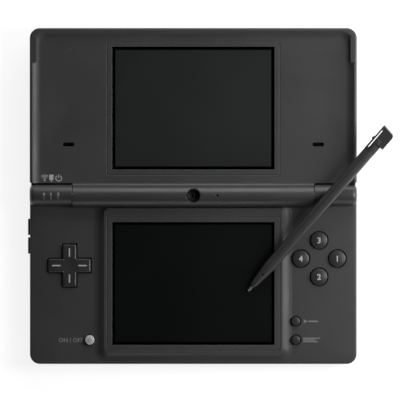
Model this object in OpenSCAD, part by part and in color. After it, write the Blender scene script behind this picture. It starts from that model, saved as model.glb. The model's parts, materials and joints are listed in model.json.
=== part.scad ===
// Clamshell handheld game console with its lid laid flat back, built as its separate pieces.
// Millimetres. +X runs along the hinge to the right, +Y from the front edge towards the lid's
// far edge, +Z up. The origin is on the table, straight below the middle of the hinge axis.

/* [Body] */
// Width of both halves, along the hinge
body_w = 137; // [131:1:145]
// Reach of each half from the hinge axis
half_d = 70.4; // [69.5:0.1:76]
// Height of the hinge axis above the table
axis_z = 11.5; // [11.3:0.1:12.5]
// Plan radius of the four outer corners
corner_r = 4.2; // [3:0.1:5.5]
// Plan radius of the lower shells' corners beside the hinge
root_r = 1.6; // [1.6:0.1:2]
// Plan radius of the upper shells' corners beside the hinge
face_root_r = 0.875; // [0.8:0.025:1.6]
// Rounding of the underside and of the lid's back
under_r = 1.5; // [0.8:0.1:1.6]
// Rounding of the upper edges
edge_r = 0.8; // [0.4:0.1:0.8]
// Rounding of each seam's lower edge, which draws the seam's line
seam_r = 0.25; // [0.1:0.05:0.4]
// Wall thickness of the shells
wall = 1.3; // [1:0.05:1.4]
// Height of the seam between the lower shells
split_z = 5.2; // [4.8:0.1:5.4]

/* [Hinge] */
// Radius of the hinge barrels
barrel_r = 4.5; // [4:0.1:4.6]
// Length of each end barrel
end_len = 17.7; // [16:0.1:20]
// Rounding of the end barrels' outer ends
end_round = 1.8; // [1:0.1:2.4]
// Radius of the cove where the middle barrel meets the lid
cove_r = 1.4; // [0.5:0.1:1.5]
// Slack between the middle barrel and each end barrel
end_gap = 0.2; // [0.1:0.05:0.4]
// Slack between the middle barrel and its trough
trough_gap = 0.4; // [0.3:0.05:0.5]
// Radius of the hinge pin
pin_r = 1.5; // [1.2:0.1:1.7]
// Slack round a turning pin
pin_gap = 0.05; // [0.03:0.01:0.1]
// Angle that the lid opens to, flat
lid_travel = 180; // [150:1:180]

/* [Screens] */
// Width of the face beside each screen window
side_w = 34.5; // [33.5:0.5:37]
// Depth of the face in front of the touch window
front_w = 8; // [7.5:0.1:10]
// Distance from the hinge axis to the touch window
lower_window_y = 10.9; // [10.5:0.1:12]
// Distance from the hinge axis to the upper window
upper_window_y = 11.1; // [10.8:0.1:12]
// Width of the raised frame's flat top beside the touch window
bezel_w = 3.35; // [2.8:0.05:3.4]
// Depth of the raised frame's flat top in front of the touch window
bezel_d = 3.25; // [2.8:0.05:3.25]
// Distance from the hinge axis to the raised frame
plateau_y = 5.35; // [5.3:0.05:5.8]
// Distance from each window to the fine line round it
line_inset = 2.1; // [1.6:0.1:2.3]
// Width of that fine line
line_w = 0.25; // [0.15:0.05:0.4]
// Reach of the raised frame's hollowed slope
plateau_slope = 3.9; // [1.5:0.1:3.9]
// Width of the raised rim's hollowed slope round the lid's tray
rim_slope = 3.5; // [2.4:0.1:3.6]
// Width of the lid rim's flat top
rim_w = 1.2; // [1:0.1:1.5]

/* [Controls] */
// Inset of the direction cross from the left side
cross_inset = 16.6; // [16:0.1:18]
// Distance of the direction cross from the hinge axis
cross_y = 29.1; // [26:0.1:36]
// Span of the direction cross
cross_span = 17.7; // [15:0.1:18]
// Width of the direction cross's arms
cross_arm = 5.7; // [5:0.1:6.2]
// Slack round the direction cross
cross_gap = 0.45; // [0.3:0.05:0.6]
// Inset of the four buttons' centre from the right side
pad_inset = 15.8; // [15.4:0.1:17]
// Distance of the four buttons' centre from the hinge axis
pad_y = 26.2; // [24:0.1:32]
// Distance of each button from that centre
pad_r = 7.65; // [7.4:0.05:8]
// Radius of the four buttons
button_r = 3.5; // [3:0.1:3.7]
// Radius of the start and select buttons
small_r = 1.85; // [1.4:0.05:2]
// Inset of the start and select buttons from the right side
small_inset = 25.55; // [24:0.05:25.6]
// Radius of the power button
power_r = 2.0; // [1.5:0.1:2.2]
// Inset of the power button from the left side
power_inset = 25.05; // [24:0.05:25.5]
// Distance of the power and select buttons from the front edge
small_y = 10.1; // [9:0.1:11]
// Distance between the start and select buttons
small_pitch = 7.8; // [6:0.1:8.5]
// Slack round every round button
button_gap = 0.27; // [0.2:0.01:0.32]
// How far each button stands over the face
button_rise = 1.4; // [0.8:0.1:1.5]
// How far the direction cross stands over the face
cross_rise = 1.05; // [0.7:0.05:1.1]
// Press travel of the round buttons
press = 0.6; // [0.4:0.05:0.65]
// Bevel round each button's hole
hole_bevel = 0.3; // [0.1:0.05:0.35]
// Length of each volume key
key_len = 6.8; // [5:0.1:7]
// Press travel of the volume keys
key_press = 0.4; // [0.2:0.05:0.45]

/* [Stylus] */
// Length of the stylus
stylus_len = 90.5; // [85:0.5:92]
// Radius of the stylus's shaft
stylus_r = 2.45; // [2:0.05:2.5]
// Heading of the stylus in plan, from +X
stylus_turn = 49.2; // [46:0.1:50]
// Inset of the stylus's tip from the right side
tip_inset = 45.65; // [44:0.05:47]
// Distance of the stylus's tip from the hinge axis
tip_y = 39.95; // [38:0.05:42]
// Slack between the stylus and what it lies on
stylus_gap = 0.1; // [0.05:0.01:0.2]
// Radius of the stylus's storage hole
holder_r = 2.6; // [2.55:0.05:2.65]
// Depth of the stylus's storage hole
holder_len = 84; // [80:1:86]

/* [Ports] */
// Width of the game card slot
card_w = 34; // [32:0.5:36]
// Height of the game card slot
card_h = 4.5; // [4.2:0.05:4.6]
// Depth of the game card slot
card_d = 31; // [28:0.5:32]
// Radius of the headphone plug's hole
jack_r = 1.8; // [1.7:0.05:2]
// Width of the memory card door
door_w = 26; // [24:0.5:28]

/* [Inside] */
// Inset of each speaker's slot from its side
speaker_inset = 16.2; // [15:0.1:17]
// Distance of the speaker slots from the hinge axis
speaker_y = 21.6; // [20:0.1:24]
// Width of each speaker
speaker_w = 16; // [14:0.5:17]
// Depth of each speaker
speaker_d = 10; // [8:0.5:12]
// Width of the larger board shield
shield_w = 18; // [14:1:20]
// Width of the wireless module
module_w = 13; // [11:0.5:15]
// Depth of the wireless module
module_d = 18; // [16:0.5:20]
// Reach of the memory card slot from the right side
sd_reach = 28; // [26:0.5:30]
// Width of the battery bay
bay_w = 43; // [40:1:44]

/* [Hidden] */
$fn = 64;

dark = [0.17, 0.17, 0.175];
black = [0.05, 0.05, 0.05];
metal = [0.7, 0.7, 0.72];
green = [0.1, 0.3, 0.18];

hw = body_w / 2;
window_w = body_w - 2 * side_w;
window_d = half_d - lower_window_y - front_w;
plateau_w = window_w + 2 * bezel_w;
plateau_d = lower_window_y + window_d + bezel_d - plateau_y;
rear_y = 4.2;                       // rear wall of the lower half
lid_y = 5.4;                        // hinge-side edge of the lid's shells
face_z = axis_z - 1.9;              // the lower half's face
top_z = axis_z - 0.3;               // top of the raised frame
lid_back_z = axis_z - 7.4;          // the lid's back
lid_face_z = axis_z + 0.2;          // floor of the lid's tray
rim_z = axis_z + 1.7;               // top of the lid's rim
lid_split_z = axis_z - 4.5;         // seam between the lid's shells
ceiling_z = face_z - wall;          // underside of the lower half's face
board_z = axis_z - 4.6;             // top of the main board
board_t = 0.8;
glass_z = top_z - 0.8;              // top of the touch panel
lcd_z = board_z + 0.5;              // underside of the touch screen module
panel_w = window_w + 3;
panel_d = window_d + 2.6;
panel_y = lower_window_y - 1.4;
seat = 0.05;                        // slack round a piece seated in a pocket
end_x = hw - end_len;               // inner face of the end barrels
end_y = 0.4;                        // the end barrels' middle, a little behind the hinge axis
end_r = barrel_r - 0.15;
mid_half = end_x - end_gap;         // half the length of the middle barrel
shoulder_in = hw - 17.9;            // inner end of the room of each shoulder button
shoulder_x = (shoulder_in + hw) / 2;  // middle of each shoulder button
cross_x = -hw + cross_inset;
pad_x = hw - pad_inset;
start_pos = [hw - small_inset, -half_d + small_y + small_pitch];
select_pos = [hw - small_inset, -half_d + small_y];
power_pos = [-hw + power_inset, -half_d + small_y];
pads = [[pad_r, 0], [0, -pad_r], [0, pad_r], [-pad_r, 0]];
led_x = [-hw + 6.15, -hw + 9.05, -hw + 12.1];
key_y = [-12.9, -20.7];
key_z = [face_z - 3.6, face_z - 1.4];
holder_y = -half_d + 5.8;
holder_z = 4.3;
holder_x = hw - holder_len - 0.8;   // inner end of the stylus's tube
jack_x = holder_x - 13.7;
jack_z = 4.3;
charge_x = 37.5;
card_z = 1.55;
door_y = -21;
door_z = 2.5;
tray_r = 2.5;                       // plan radius of the tray's corners, at its floor
cove_z = lid_face_z - axis_z + cove_r;
cove_y = sqrt((barrel_r + cove_r) * (barrel_r + cove_r) - cove_z * cove_z);
rim_h = rim_z - lid_face_z;
tray_arc = (rim_slope * rim_slope + rim_h * rim_h) / (2 * rim_h);
frame_h = top_z - face_z;
frame_arc = (plateau_slope * plateau_slope + frame_h * frame_h) / (2 * frame_h);
screw_pos = [[-hw + 9, 12], [hw - 9, 12], [-hw + 16, half_d - 9], [hw - 16, half_d - 9]];
case_screw_pos = [[-card_w / 2 - 9, -7], [card_w / 2 + 9, -7], [-hw + 5.2, -half_d + 8.4],
  [holder_x - 5.7, -half_d + 4.4], [hw - 6, -half_d + 14.4]];
camera_pos = [-hw + 9.5, half_d - 10.9];  // outer camera, in the lid's back
screw_r = 0.8;
boss_r = 2.2;
head_z = wall + 0.2;                // shoulder under each case screw's head
screw_top = ceiling_z - 0.9;
nib_r = 0.55;
bumper_y = half_d - 14.5;             // near end of the rim's bumpers
bumper_len = 11;
bumper_x = hw - rim_w - 0.7;
bumper_z = lid_face_z + 0.15;         // foot of the bumpers, below the rim's slope
bay_x = [-1 - bay_w, -1];             // battery bay
bay_y = [-half_d + 13.4, -card_d + 0.8];
bay_mid = (bay_y[0] + bay_y[1]) / 2;

module block(x0, x1, y0, y1, z0, z1) {
  translate([x0, y0, z0])
    cube([x1 - x0, y1 - y0, z1 - z0]);
}

// A cylinder along +X from x0 to x1.
module bar(x0, x1, y, z, r) {
  translate([x0, y, z])
    rotate([0, 90, 0])
      cylinder(r = r, h = x1 - x0);
}

// A cylinder along +Z.
module post(x, y, z0, z1, r) {
  translate([x, y, z0])
    cylinder(r = r, h = z1 - z0);
}

// A Y-Z outline, extruded from x0 to x1.
module along_x(x0, x1) {
  translate([x0, 0, 0])
    rotate([90, 0, 90])
      linear_extrude(x1 - x0)
        children();
}

module rounded_plan(x0, x1, y0, y1, r) {
  translate([x0 + r, y0])
    square([x1 - x0 - 2 * r, y1 - y0]);
  translate([x0, y0 + r])
    square([x1 - x0, y1 - y0 - 2 * r]);
  for (x = [x0 + r, x1 - r], y = [y0 + r, y1 - r])
    translate([x, y])
      circle(r = r);
}

module rounded_block(x0, x1, y0, y1, z0, z1, r) {
  translate([0, 0, z0])
    linear_extrude(z1 - z0)
      rounded_plan(x0, x1, y0, y1, r);
}

// Snaps a length to a binary fraction, so that sums of lengths meet without a gap.
function snap(v) = round(v * 4096) / 4096;

// Sweeps an outline of (distance out from the corner centres, height) round a rounded rectangle.
module plan_sweep(ax, bx, ay, by, ar, z0, z1) {
  x0 = snap(ax);
  x1 = snap(bx);
  y0 = snap(ay);
  y1 = snap(by);
  r = snap(ar);
  centres = [[x1 - r, y1 - r], [x0 + r, y1 - r], [x0 + r, y0 + r], [x1 - r, y0 + r]];
  sides = [y1 - y0 - 2 * r, x1 - x0 - 2 * r];
  for (i = [0:3])
    translate([centres[i][0], centres[i][1], 0])
      rotate([0, 0, 90 * i]) {
        rotate_extrude(angle = 90)
          children();
        rotate([90, 0, 0])
          linear_extrude(sides[i % 2])
            children();
      }
  block(x0 + r, x1 - r, y0 + r, y1 - r, z0, z1);
}

// Edge outline of a slab from z0 to z1, rounded at the bottom by rb and at the top by rt.
module edge_outline(r, z0, z1, rb, rt) {
  e = max(rb, rt);
  intersection() {
    union() {
      translate([0, z0])
        square([r - e, z1 - z0]);
      translate([0, z0 + rb])
        square([r, z1 - z0 - rb - rt]);
      if (rb > 0)
        translate([r - rb, z0 + rb])
          circle(r = rb);
      if (rt > 0)
        translate([r - rt, z1 - rt])
          circle(r = rt);
    }
    translate([0, z0])
      square([r, z1 - z0]);
  }
}

// One half's outer form: big corners at its tip, small ones at its root beside the hinge.
module half_form(tip, root, z0, z1, rb, rt, rr) {
  plan_sweep(-hw, hw, -tip, root - 8, corner_r, z0, z1)
    edge_outline(corner_r, z0, z1, rb, rt);
  plan_sweep(-hw, hw, root - 20, root, rr, z0, z1)
    edge_outline(rr, z0, z1, rb, rt);
}

// The raised frame round the touch screen, with its hollowed slope.
module raised_frame() {
  r = 2;
  reach = r + plateau_slope;
  translate([0, 0, face_z])
    plan_sweep(-plateau_w / 2 - plateau_slope, plateau_w / 2 + plateau_slope,
      -plateau_y - plateau_d - plateau_slope, -plateau_y + plateau_slope, reach, -1, frame_h)
      difference() {
        translate([0, -1])
          square([reach, frame_h + 1]);
        translate([reach, frame_arc + 0.05])
          circle(r = frame_arc);
      }
}

// Space over the lid's tray, out to its hollowed slope.
module tray_space() {
  foot = rim_w + rim_slope;
  translate([0, 0, lid_face_z])
    plan_sweep(-hw + foot - tray_r, hw - foot + tray_r, -12, half_d - foot + tray_r,
      tray_r * 2, 0, tray_arc)
      intersection() {
        union() {
          square([tray_r, tray_arc]);
          translate([tray_r, tray_arc])
            circle(r = tray_arc);
        }
        square([tray_r + tray_arc + 1, tray_arc]);
      }
}

// A fine groove round a window whose near edge is at y, cut into a face at height z.
module frame_line(y, z) {
  translate([0, 0, z - 0.2])
    linear_extrude(1)
      difference() {
        rounded_plan(-window_w / 2 - line_inset - line_w, window_w / 2 + line_inset + line_w,
          y - line_inset - line_w, y + window_d + line_inset + line_w, 0.8);
        rounded_plan(-window_w / 2 - line_inset, window_w / 2 + line_inset,
          y - line_inset, y + window_d + line_inset, 0.6);
      }
}

module slot_plan(x, y, len, w) {
  for (s = [-1, 1])
    translate([x + s * (len - w) / 2, y])
      circle(r = w / 2);
  translate([x - (len - w) / 2, y - w / 2])
    square([len - w, w]);
}

module cross_plan(span, arm) {
  translate([-span / 2, -arm / 2])
    square([span, arm]);
  translate([-arm / 2, -span / 2])
    square([arm, span]);
}

// ---- the lower half ----

module lower_cavity(z0, z1) {
  rounded_block(-hw + wall, hw - wall, -half_d + wall, rear_y - wall, z0, z1, 1);
}

// What is cut through both lower shells: the trough, the ports and the openings in the walls.
module lower_cuts() {
  bar(-end_x, end_x, 0, axis_z, barrel_r + trough_gap);
  block(-end_x, end_x, 0, rear_y + 1, axis_z - barrel_r - trough_gap, axis_z + 9);
  block(-card_w / 2, card_w / 2, -card_d, rear_y + 1, card_z, card_z + card_h);
  block(charge_x - 4, charge_x + 4, -2, rear_y + 1, 2.4, 5.8);
  bar(hw - wall - 1, hw + 1, holder_y, holder_z, holder_r + 0.35 + seat);
  translate([jack_x, -half_d + 1.6, jack_z])
    rotate([90, 0, 0])
      cylinder(r = 2.4, h = 3);
  block(hw - 1.2, hw + 1, door_y - door_w / 2 - 0.15, door_y + door_w / 2 + 0.15,
    door_z - 0.7, door_z + 3.9);
  block(hw - wall - 1, hw + 1, door_y - door_w / 2 + 0.7, door_y + door_w / 2 - 0.7,
    door_z + 0.6, door_z + 3.1);
  for (s = [-1, 1])
    translate([s * (shoulder_in + hw + 2) / 2, 0.6, 4])
      cube([hw + 2 - shoulder_in - 0.9, 9, 4.9], center = true);
  for (x = [-shoulder_in + 8.1, -shoulder_in + 12.1])
    block(x - 1, x + 1, rear_y - wall - 1, rear_y + 1, 2.6, 4.6);
}

module end_barrel() {
  difference() {
    union() {
      bar(end_x, hw - end_round, end_y, axis_z, end_r);
      bar(end_x, hw, end_y, axis_z, end_r - end_round);
      translate([hw - end_round, end_y, axis_z])
        rotate([0, 90, 0])
          rotate_extrude()
            intersection() {
              translate([end_r - end_round, 0])
                circle(r = end_round);
              square([end_r, end_round]);
            }
      block(end_x, hw - end_round, end_y - 3.8, rear_y, face_z - 1, axis_z);
    }
    bar(end_x - 1, end_x + 4, 0, axis_z, pin_r);
  }
}

// A boss from z0 up to a wall at z1, bored for a screw up to z2.
module screw_boss(p, z0, z1, z2) {
  difference() {
    post(p[0], p[1], z0, z1, boss_r - 0.3);
    post(p[0], p[1], z0 - 1, z2, screw_r + 0.05);
  }
}

// A button's hole through the face, bevelled at its rim.
module button_hole(p, r) {
  post(p[0], p[1], ceiling_z - 1, top_z + 1, r + button_gap);
  translate([p[0], p[1], face_z - hole_bevel])
    cylinder(r1 = r + button_gap, r2 = r + button_gap + 2 * hole_bevel, h = 2 * hole_bevel);
}

module lower_face_shell() color(dark) {
  difference() {
    union() {
      half_form(half_d, rear_y, split_z, face_z, 0, edge_r, face_root_r);
      raised_frame();
      end_barrel();
      mirror([1, 0, 0])
        end_barrel();
    }
    difference() {
      lower_cavity(split_z - 1, ceiling_z);
      for (s = [-1, 1])
        block(s * (hw + end_x) / 2 - 20, s * (hw + end_x) / 2 + 20, -5.5, rear_y,
          axis_z - 4.9, ceiling_z + 1);
    }
    lower_cuts();
    block(-panel_w / 2, panel_w / 2, -panel_y - panel_d, -panel_y, split_z - 1, glass_z + seat);
    block(-window_w / 2, window_w / 2, -lower_window_y - window_d, -lower_window_y,
      split_z, top_z + 1);
    frame_line(-lower_window_y - window_d, top_z);
    translate([cross_x, -cross_y, ceiling_z - 1])
      linear_extrude(wall + 3)
        cross_plan(cross_span + 2 * cross_gap, cross_arm + 2 * cross_gap);
    for (p = pads)
      button_hole([pad_x + p[0], -pad_y + p[1]], button_r);
    for (p = [start_pos, select_pos])
      button_hole(p, small_r);
    button_hole(power_pos, power_r);
    for (y = key_y)
      block(-hw - 1, -hw + wall + 1, y - key_len / 2 - 0.15, y + key_len / 2 + 0.15,
        key_z[0] - 0.15, key_z[1] + 0.15);
    for (x = led_x)
      block(x - 0.4, x + 0.4, -1.5, 1.45, axis_z - 0.5, axis_z + barrel_r + 1);
  }
  for (p = case_screw_pos)
    screw_boss(p, split_z + 0.1, ceiling_z + 0.1, screw_top + 0.2);
}

module lower_base_shell() color(dark) {
  difference() {
    half_form(half_d, rear_y, 0, split_z, under_r, seam_r, root_r);
    lower_cavity(wall, split_z + 1);
    lower_cuts();
    block(bay_x[0], bay_x[1], bay_y[0], bay_y[1], -1, wall + 1);
    for (x = [bay_x[0] - 2, bay_x[1] + 2])
      block(x - 2.2, x + 2.2, bay_mid - 3.5, bay_mid + 3.5, -1, 0.5);
    for (p = case_screw_pos)
      post(p[0], p[1], -1, wall + 1, screw_r + 0.3);
  }
  for (p = case_screw_pos)
    difference() {
      post(p[0], p[1], wall - 0.2, split_z, boss_r);
      post(p[0], p[1], -1, head_z, screw_r + 0.3);
      post(p[0], p[1], 0, split_z + 1, screw_r + 0.1);
    }
  for (s = [-1, 1])
    post(s * (shoulder_in + 2.2), 1, wall - 0.2, split_z, 0.55);
}

module battery_cover() color(dark) {
  difference() {
    union() {
      block(bay_x[0] + 0.1, bay_x[1] - 0.1, bay_y[0] + 0.1, bay_y[1] - 0.1, 0, wall - 0.1);
      for (x = [bay_x[0] - 0.9, bay_x[1] + 0.9])
        block(x - 2, x + 2, bay_mid - 3.4, bay_mid + 3.4, 0, 0.45);
    }
    for (x = [bay_x[0] + 3.1, bay_x[1] - 3.1])
      post(x, bay_mid, -1, wall, 1.25);
  }
}

module battery_cover_screws() color(metal) {
  for (x = [bay_x[0] + 3.1, bay_x[1] - 3.1])
    difference() {
      post(x, bay_mid, 0.15, wall - 0.1, 1.2);
      for (a = [0, 90])
        translate([x, bay_mid, 0.1])
          rotate([0, 0, a])
            cube([1.4, 0.35, 0.8], center = true);
    }
}

module case_screws() color(metal) {
  for (p = case_screw_pos)
    difference() {
      union() {
        post(p[0], p[1], 0.3, head_z, screw_r + 0.25);
        post(p[0], p[1], 0.3, screw_top, screw_r);
      }
      for (a = [0, 90])
        translate([p[0], p[1], 0.3])
          rotate([0, 0, a])
            cube([1.3, 0.35, 0.7], center = true);
    }
}

module battery() color([0.3, 0.3, 0.32]) {
  rounded_block(bay_x[0] + 1.4, bay_x[1] - 2.6, bay_y[0] + 1.2, bay_y[1] - 3.8, wall + 0.1,
    split_z, 1.2);
}

module battery_contacts() color(metal) {
  for (i = [0:3])
    translate([bay_x[0] + 10 + 3.5 * i, bay_y[1] - 3.7, 0])
      block(-0.5, 0.5, 0, 0.8, wall + 0.8, board_z - board_t);
}

// The board stops short of the stylus tube, the card slot and the key switches.
module main_board() color(green) {
  difference() {
    translate([0, 0, board_z - board_t])
      linear_extrude(board_t) {
        rounded_plan(-hw + 4.6, hw - 3, -half_d + 8.6, -7, 1);
        for (s = [-1, 1])
          translate([s * shoulder_x - 3, -8])
            square([6, 2.4]);
      }
    for (p = case_screw_pos)
      post(p[0], p[1], 0, board_z + 1, 2.6);
  }
}

module board_shields() color(metal) {
  y1 = -card_d - 3;
  x1 = shield_w + 20;
  block(x1 - shield_w, x1, bay_y[0] + 2, y1, board_z - board_t - 1.2, board_z - board_t);
  block(2, shield_w - 2, bay_y[0] + 1, y1 - 4, board_z - board_t - 0.9, board_z - board_t);
}

module wifi_module() color([0.12, 0.25, 0.4]) {
  x0 = -hw + 9;
  block(x0, x0 + module_w, -10 - module_d, -10, board_z - board_t - 1.6, board_z - board_t);
}

module touch_lcd() color(black) {
  block(-panel_w / 2 + seat, panel_w / 2 - seat, -panel_y - panel_d + seat, -panel_y - seat,
    lcd_z, glass_z - 0.9);
}

module touch_panel() color([0.08, 0.09, 0.09]) {
  block(-panel_w / 2 + seat, panel_w / 2 - seat, -panel_y - panel_d + seat, -panel_y - seat,
    glass_z - 0.9, glass_z);
}

module card_slot() color(metal) {
  x = card_w / 2;
  difference() {
    block(-x - 0.5, x + 0.5, -card_d - 1.2, rear_y - wall - 0.1, wall, card_z + card_h);
    block(-x, x, -card_d, rear_y + 1, card_z, card_z + card_h + 1);
  }
}

module card_contacts() color([0.75, 0.6, 0.25]) {
  pitch = (card_w - 2) / 16;
  for (i = [0:16])
    translate([-card_w / 2 + 1 + pitch * i, -card_d, card_z])
      block(-0.4, 0.4, 0, 5, 0, 0.15);
}

module sd_slot() color(metal) {
  y0 = door_y - door_w / 2 + 0.6;
  y1 = door_y + door_w / 2 - 0.6;
  difference() {
    block(hw - sd_reach, hw - wall - 0.1, y0, y1, 2.3, 5.8);
    block(hw - sd_reach + 1, hw, y0 + 0.5, y1 - 0.5, 2.9, 5.3);
  }
}

module headphone_jack() color(black) {
  difference() {
    union() {
      block(jack_x - 3, jack_x + 3, -half_d + wall + 0.1, -half_d + 13.6, 1.8, board_z - board_t);
      translate([jack_x, -half_d + 1.5, jack_z])
        rotate([90, 0, 0])
          cylinder(r = 2.35, h = 1.4);
    }
    translate([jack_x, -half_d + 12.1, jack_z])
      rotate([90, 0, 0])
        cylinder(r = jack_r, h = 14);
  }
}

module charge_socket() color(metal) {
  difference() {
    block(charge_x - 4.4, charge_x + 4.4, -5, rear_y - wall - 0.1, 2, 6.2);
    block(charge_x - 3.9, charge_x + 3.9, -4.4, rear_y, 2.5, 5.7);
  }
  block(charge_x - 2.6, charge_x + 2.6, -4.5, 1.6, 3.8, 4.4);
}

module stylus_holder() color(dark) {
  difference() {
    bar(holder_x, hw - 0.3, holder_y, holder_z, holder_r + 0.35);
    bar(hw - holder_len, hw + 1, holder_y, holder_z, holder_r);
  }
}

module shoulder_switches() color(metal) {
  for (s = [-1, 1])
    block(s * shoulder_x - 2, s * shoulder_x + 2, -6.8, -3.4, 2.6, board_z - board_t);
}

module volume_switches() color(metal) {
  for (y = key_y)
    block(-hw + 2.6, -hw + 4.6, y - 1.8, y + 1.8, key_z[0] - 0.6, key_z[1] - 0.3);
}

module button_domes() color([0.75, 0.75, 0.7]) {
  for (p = pads)
    post(pad_x + p[0], -pad_y + p[1], board_z, board_z + 0.5, 1.9);
  for (p = [start_pos, select_pos, power_pos])
    post(p[0], p[1], board_z, board_z + 0.4, 0.8);
  for (a = [0, 90, 180, 270])
    translate([cross_x + 5.6 * cos(a), -cross_y + 5.6 * sin(a), board_z])
      cylinder(r = 1.6, h = 0.1);
}

module light_guides() color([0.85, 0.87, 0.85]) {
  intersection() {
    for (x = led_x)
      block(x - 0.4, x + 0.4, -1.5, 1.45, axis_z - 0.5, axis_z + barrel_r);
    bar(-hw, -end_x, end_y, axis_z, end_r - 0.06);
  }
}

module hinge_pin() color(metal) {
  bar(-end_x - 4, -mid_half + 6, 0, axis_z, pin_r);
}

module clutch_shaft() color(metal) {
  bar(mid_half - 8, end_x + 4, 0, axis_z, pin_r);
}

module sd_door() color(dark) {
  y0 = door_y - door_w / 2;
  difference() {
    union() {
      block(hw - 1.1, hw, y0, y0 + door_w, door_z, door_z + 3.8);
      translate([hw - 0.5, y0, door_z])
        rotate([-90, 0, 0])
          cylinder(r = 0.5, h = door_w);
    }
    block(hw - 0.35, hw + 1, door_y - 3, door_y + 3, door_z + 2.9, door_z + 4);
  }
}

// Bars at the rear corners, each turning about its inner end.
module shoulder_right() color(dark) {
  difference() {
    union() {
      block(shoulder_in + 1, hw - 1.6, -1.4, rear_y + 0.4, 1.8, 6.2);
      block(shoulder_in + 1, hw, -1.4, rear_y - 1.2, 1.8, 6.2);
      post(hw - 1.6, rear_y - 1.2, 1.8, 6.2, 1.6);
    }
    block(shoulder_in + 3, hw - 1.8, -2, rear_y - 1.2, 2.8, 5.2);
    post(shoulder_in + 2.2, 1, 0, 9, 0.6);
  }
}

module shoulder_left() {
  mirror([1, 0, 0])
    shoulder_right();
}

module volume_key(y) {
  block(-hw - 0.8, -hw + 1.7, y - key_len / 2, y + key_len / 2, key_z[0], key_z[1]);
  block(-hw + 1.4, -hw + 2, y - key_len / 2 - 0.4, y + key_len / 2 + 0.4,
    key_z[0] - 0.4, key_z[1] + 0.1);
}

module volume_up() color(dark)
  volume_key(key_y[0]);

module volume_down() color(dark)
  volume_key(key_y[1]);

module cross_pivot() color(black) {
  post(cross_x, -cross_y, board_z + 0.12, board_z + 0.5, 1.2);
}

module direction_cross() color(dark) {
  translate([cross_x, -cross_y, 0])
    difference() {
      union() {
        translate([0, 0, board_z + 0.9])
          linear_extrude(face_z + cross_rise - board_z - 0.9)
            cross_plan(cross_span, cross_arm);
        translate([0, 0, board_z + 0.55])
          cylinder(r = cross_arm + 0.1, h = 0.35);
      }
      translate([0, 0, face_z + cross_rise + 19.7])
        sphere(r = 20);
    }
}

// A round button: a crowned stem over a thin flange, hollow beneath for its dome.
module round_button(p, r) {
  top = face_z + button_rise;
  crown = 4 * r;
  translate([p[0], p[1], 0])
    difference() {
      union() {
        intersection() {
          translate([0, 0, board_z + press + 0.08])
            cylinder(r = r, h = 6);
          translate([0, 0, top - crown])
            sphere(r = crown);
        }
        translate([0, 0, board_z + press + 0.08])
          cylinder(r = r + 0.75, h = 0.6);
      }
      translate([0, 0, board_z])
        cylinder(r = r * 0.62, h = press + 1.1);
    }
}

module button_1() color(dark)
  round_button([pad_x, -pad_y] + pads[0], button_r);

module button_2() color(dark)
  round_button([pad_x, -pad_y] + pads[1], button_r);

module button_3() color(dark)
  round_button([pad_x, -pad_y] + pads[2], button_r);

module button_4() color(dark)
  round_button([pad_x, -pad_y] + pads[3], button_r);

module start_button() color(dark)
  round_button(start_pos, small_r);

module select_button() color(dark)
  round_button(select_pos, small_r);

module power_button() color([0.75, 0.76, 0.78])
  round_button(power_pos, power_r);

// ---- the stylus, lying across the console from the touch panel to the right end barrel ----

// It rests on top of the end barrel and on the frame's right window edge, or on its own nib.
module stylus_place() {
  run = (tip_y + end_y) / sin(stylus_turn);
  edge_run = (tip_inset - side_w) / cos(stylus_turn);
  drop = axis_z + end_r - glass_z - nib_r;
  edge_tilt = atan((axis_z + end_r - top_z) / (run - edge_run));
  nib_tilt = atan(drop / run) + asin(stylus_r / sqrt(drop * drop + run * run));
  tilt = min(edge_tilt, nib_tilt);
  tip_z = axis_z + end_r + stylus_gap + stylus_r / cos(tilt) - run * tan(tilt);
  translate([hw - tip_inset, -tip_y, tip_z])
    rotate([0, 0, stylus_turn])
      rotate([0, -tilt, 0])
        children();
}

module turned(x0, x1, r0, r1) {
  translate([x0, 0, 0])
    rotate([0, 90, 0])
      cylinder(r1 = r0, r2 = r1, h = x1 - x0);
}

module stylus_shaft() color(dark)
  stylus_place()
    difference() {
      union() {
        turned(14, stylus_len - 12.5, stylus_r, stylus_r);
        turned(9, 14, 1.75, stylus_r);
        turned(3, 9, 0.9, 1.75);
      }
      translate([9.6, 0, 0])
        cylinder(r = 0.4, h = 5);
    }

module stylus_nib() color([0.5, 0.5, 0.5])
  stylus_place() {
    turned(0.5, 3, nib_r, nib_r + 0.15);
    translate([0.55, 0, 0])
      sphere(r = nib_r - 0.01);
  }

// The end fitting: a hooked lip on one side, a thin sprung rib with its catch on the other.
module stylus_cap() color(dark)
  stylus_place()
    translate([stylus_len, 0, 0])
      difference() {
        union() {
          turned(-12.5, -6, stylus_r + 0.05, stylus_r + 0.05);
          translate([0, 0, -2.1])
            linear_extrude(4.2) {
              polygon([[-8.1, stylus_r - 0.05], [-8.1, -stylus_r - 1.35],
                [-2.25, -stylus_r - 1.35], [-2.25, -stylus_r + 0.25], [-0.65, -stylus_r + 0.25],
                [0, stylus_r - 0.05]]);
              translate([-2.25, -stylus_r + 0.25])
                circle(r = 1.6);
            }
          translate([-6.9, stylus_r - 0.35, -1])
            cylinder(r = 0.85, h = 2);
        }
        translate([-11.3, stylus_r - 1.15, -3])
          cube([9.3, 0.42, 6]);
        translate([-8.6, -stylus_r - 0.2, 1.3])
          cube([0.5, stylus_r, 2]);
      }

// ---- the lid, laid back flat ----

module lid_cavity(z0, z1) {
  rounded_block(-hw + wall, hw - wall, lid_y + wall, half_d - wall, z0, z1, 2.9);
}

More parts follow.
